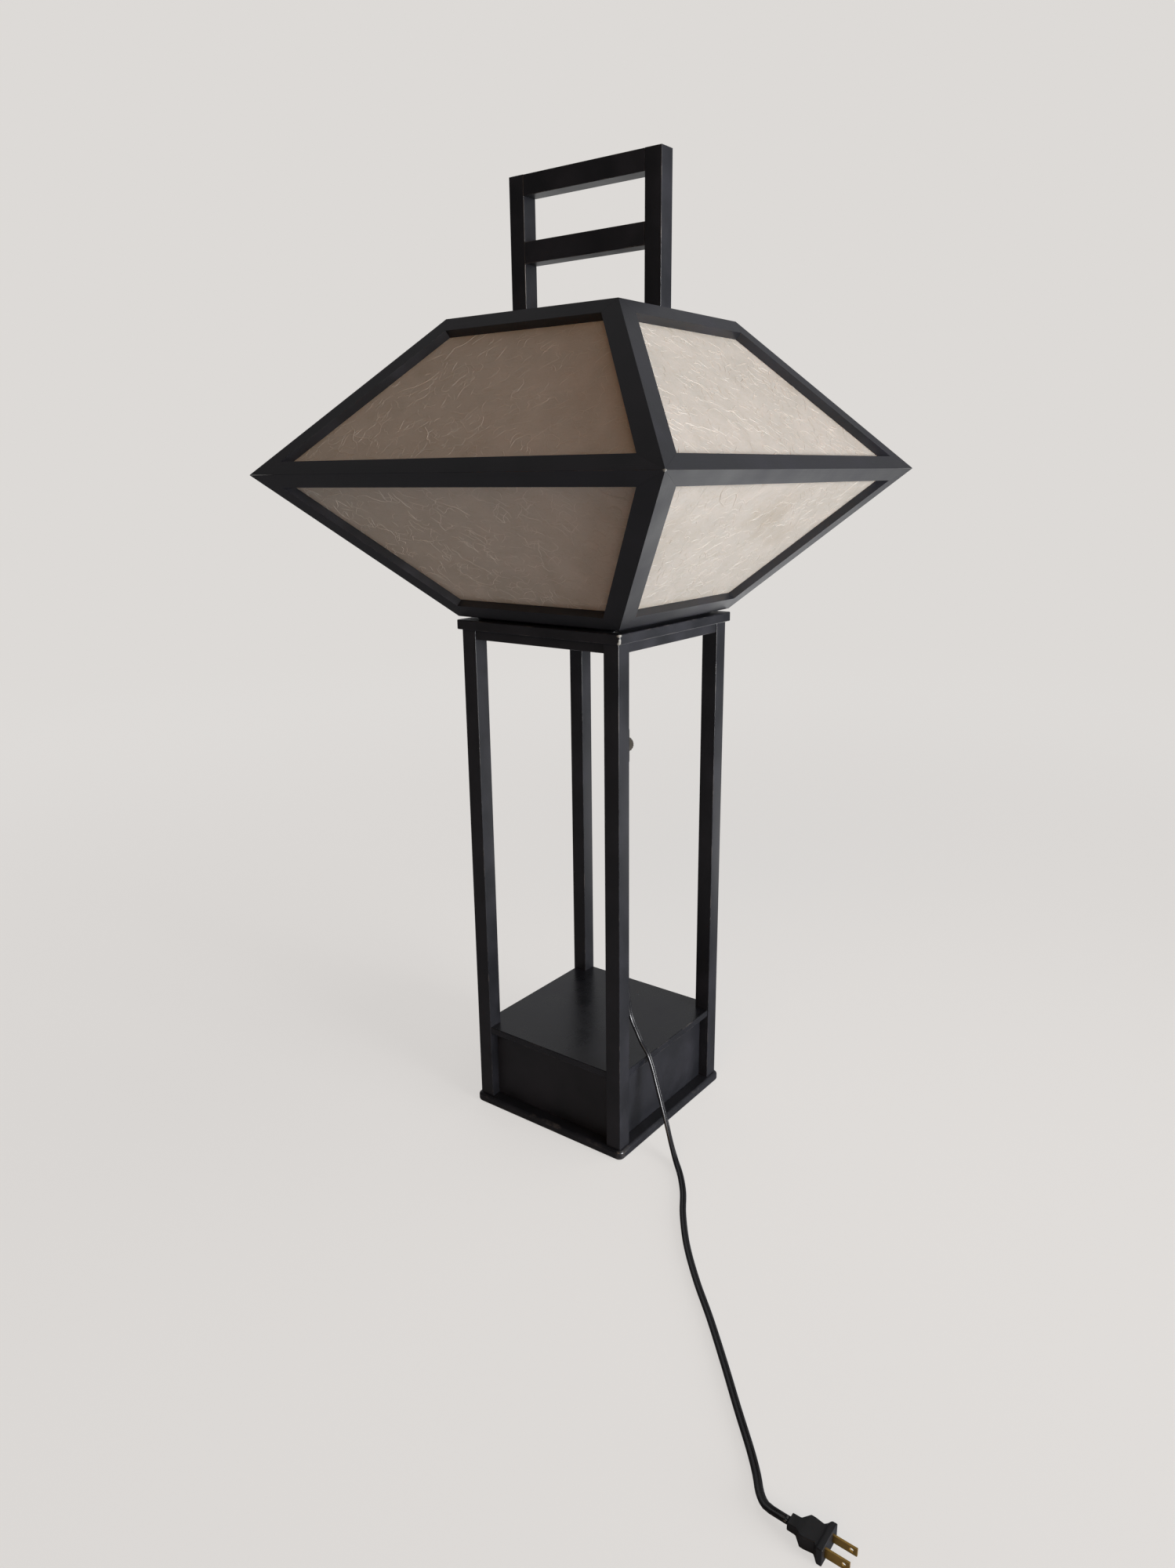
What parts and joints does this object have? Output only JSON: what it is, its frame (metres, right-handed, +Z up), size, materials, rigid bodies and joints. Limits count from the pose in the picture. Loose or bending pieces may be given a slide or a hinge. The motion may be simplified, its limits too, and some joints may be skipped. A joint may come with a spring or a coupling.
{
  "type": "lantern floor lamp",
  "caption": "Floor lamp: a faceted paper-panelled shade in black mitred frames with a ladder handle, lifting off an open square stand with a boxed foot and a shelf.",
  "frame": {"origin": "middle of the base plate's underside, on the floor", "axes": "+Z up; -Y and +X are the two sides that the picture shows, and the corner between them is the nearest. The cord hangs inside the +X side"},
  "size_m": [0.7295, 0.6309, 0.994],
  "materials": {
    "black_lacquered_wood": "satin",
    "fibre_paper": "matte",
    "plated_steel": "satin",
    "brass": "satin",
    "black_phenolic": "gloss",
    "opal_glass": "satin",
    "bulb_cap_aluminium": "satin",
    "black_moulding": "satin",
    "brown_moulding": "satin",
    "cord_vinyl": "gloss"
  },
  "bodies": {
    "stand": {"base_plate": "black_lacquered_wood", "shelf": "black_lacquered_wood", "top_plate": "black_lacquered_wood", "post_screws": "plated_steel", "locating_board": "black_lacquered_wood", "board_screws": "plated_steel", "post_left": "black_lacquered_wood", "post_front": "black_lacquered_wood", "post_right": "black_lacquered_wood", "post_back": "black_lacquered_wood", "foot_panel_front_left": "black_lacquered_wood", "foot_panel_front_right": "black_lacquered_wood", "foot_panel_back_right": "black_lacquered_wood", "foot_panel_back_left": "black_lacquered_wood", "top_rail_front_left": "black_lacquered_wood", "top_rail_front_right": "black_lacquered_wood", "top_rail_back_right": "black_lacquered_wood", "top_rail_back_left": "black_lacquered_wood", "threaded_tube": "brass", "lock_nuts": "plated_steel", "holder_cap": "brass", "holder_shell": "brass", "holder_insulator": "black_phenolic", "holder_thread": "brass", "holder_contact": "brass", "cord_bush": "black_moulding", "inner_lead": "cord_vinyl", "hanging_cord": "cord_vinyl", "floor_cord": "cord_vinyl", "switch_front": "black_moulding", "switch_back": "black_moulding", "switch_screw": "plated_steel", "plug_body": "black_moulding", "plug_blades": "brass"},
    "shade": {"upper_frame_front_left": "black_lacquered_wood", "upper_frame_front_right": "black_lacquered_wood", "upper_frame_back_right": "black_lacquered_wood", "upper_frame_back_left": "black_lacquered_wood", "lower_frame_front_left": "black_lacquered_wood", "lower_frame_front_right": "black_lacquered_wood", "lower_frame_back_right": "black_lacquered_wood", "lower_frame_back_left": "black_lacquered_wood", "upper_paper_front_left": "fibre_paper", "upper_paper_front_right": "fibre_paper", "upper_paper_back_right": "fibre_paper", "upper_paper_back_left": "fibre_paper", "lower_paper_front_left": "fibre_paper", "lower_paper_front_right": "fibre_paper", "lower_paper_back_right": "fibre_paper", "lower_paper_back_left": "fibre_paper", "bottom_cleats": "black_lacquered_wood", "top_cleats": "black_lacquered_wood", "handle_upright_left": "black_lacquered_wood", "handle_upright_right": "black_lacquered_wood", "handle_grip": "black_lacquered_wood", "handle_mid_rail": "black_lacquered_wood", "handle_screws": "plated_steel"},
    "bulb": {"bulb_glass": "opal_glass", "bulb_cap": "bulb_cap_aluminium"},
    "switch_wheel": {"switch_wheel": "brown_moulding"}
  },
  "joints": [
    {"name": "shade_lift", "type": "slide", "parent": "stand", "child": "shade", "axis": [0, 0, 1], "range_m": [0, 0.18]},
    {"name": "bulb_turn", "type": "hinge", "parent": "stand", "child": "bulb", "pos_m": [0, 0, 0.63], "axis": [0, 0, 1], "range_deg": [0, 720]},
    {"name": "switch_turn", "type": "hinge", "parent": "stand", "child": "switch_wheel", "pos_m": [0.06721, -0.04134, 0.4455], "axis": [0.6018, -0.7986, 0], "continuous": true}
  ]
}
